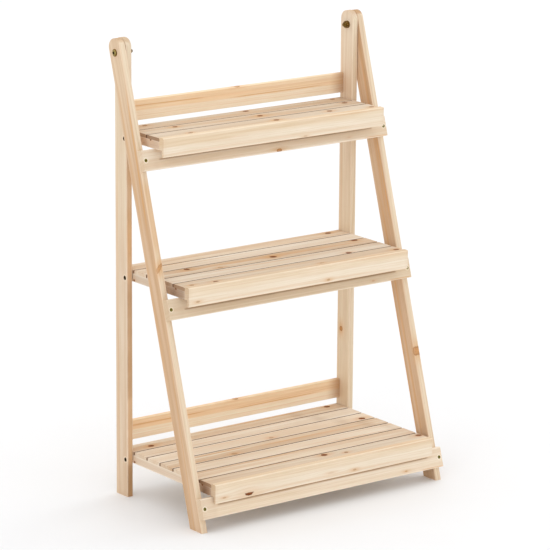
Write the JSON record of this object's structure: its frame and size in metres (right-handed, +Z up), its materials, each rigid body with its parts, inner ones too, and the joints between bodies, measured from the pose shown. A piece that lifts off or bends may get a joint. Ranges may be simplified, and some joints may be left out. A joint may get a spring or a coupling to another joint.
{
  "type": "tiered plant stand",
  "caption": "Folding A-frame plant stand in pale softwood with slatted shelves that grow deeper towards the floor.",
  "frame": {"origin": "on the floor, at the middle of the opened stand's footprint", "axes": "+Z up, +X along the shelves to the right when seen from the front, +Y to the back"},
  "size_m": [0.607, 0.3204, 0.928],
  "materials": {
    "pine_upright": "satin",
    "pine_back_rail": "satin",
    "pine_leaning": "satin",
    "pine_front_rail": "satin",
    "pine_slat": "satin",
    "pine_bearer": "satin",
    "pine_apron": "satin",
    "beech_dowel": "satin",
    "brass_bolt": "satin",
    "brass_washer": "satin",
    "brass_screw": "satin",
    "dark_bolt": "satin",
    "steel_pin": "satin"
  },
  "bodies": {
    "back_frame": {"back_leg_left": "pine_upright", "back_leg_right": "pine_upright", "back_rail_upper": "pine_back_rail", "back_rail_lower": "pine_back_rail", "back_rail_dowels": "beech_dowel", "top_bolts": "brass_bolt", "leg_spacers": "brass_washer", "top_bolt_washers": "brass_washer", "top_bolt_nuts": "brass_bolt", "shelf_pivot_bolts": "dark_bolt", "shelf_pivot_spacers": "brass_washer", "shelf_pivot_nuts": "dark_bolt"},
    "front_frame": {"front_leg_left": "pine_leaning", "front_leg_right": "pine_leaning", "front_rail_top": "pine_front_rail", "front_rail_middle": "pine_front_rail", "front_rail_bottom": "pine_front_rail", "front_rail_screws": "brass_screw"},
    "top_shelf": {"top_slat_1": "pine_slat", "top_slat_2": "pine_slat", "top_slat_3": "pine_slat", "top_bearer_left": "pine_bearer", "top_bearer_right": "pine_bearer", "top_apron": "pine_apron", "top_slat_pins": "steel_pin", "top_apron_dowels": "beech_dowel"},
    "middle_shelf": {"middle_slat_1": "pine_slat", "middle_slat_2": "pine_slat", "middle_slat_3": "pine_slat", "middle_slat_4": "pine_slat", "middle_slat_5": "pine_slat", "middle_bearer_left": "pine_bearer", "middle_bearer_right": "pine_bearer", "middle_apron": "pine_apron", "middle_slat_pins": "steel_pin", "middle_apron_dowels": "beech_dowel"},
    "bottom_shelf": {"bottom_slat_1": "pine_slat", "bottom_slat_2": "pine_slat", "bottom_slat_3": "pine_slat", "bottom_slat_4": "pine_slat", "bottom_slat_5": "pine_slat", "bottom_slat_6": "pine_slat", "bottom_slat_7": "pine_slat", "bottom_bearer_left": "pine_bearer", "bottom_bearer_right": "pine_bearer", "bottom_apron": "pine_apron", "bottom_slat_pins": "steel_pin", "bottom_apron_dowels": "beech_dowel"}
  },
  "joints": [
    {"name": "front_frame_fold", "type": "hinge", "parent": "back_frame", "child": "front_frame", "pos_m": [0, 0.13723, 0.9], "axis": [1, 0, 0], "range_deg": [0, 16.77]},
    {"name": "top_shelf_lift", "type": "hinge", "parent": "back_frame", "child": "top_shelf", "pos_m": [0, 0.12823, 0.7302], "axis": [-1, 0, 0], "range_deg": [0, 90]},
    {"name": "middle_shelf_lift", "type": "hinge", "parent": "back_frame", "child": "middle_shelf", "pos_m": [0, 0.12823, 0.4505], "axis": [-1, 0, 0], "range_deg": [0, 90]},
    {"name": "bottom_shelf_lift", "type": "hinge", "parent": "back_frame", "child": "bottom_shelf", "pos_m": [0, 0.12823, 0.0765], "axis": [-1, 0, 0], "range_deg": [0, 90]}
  ]
}
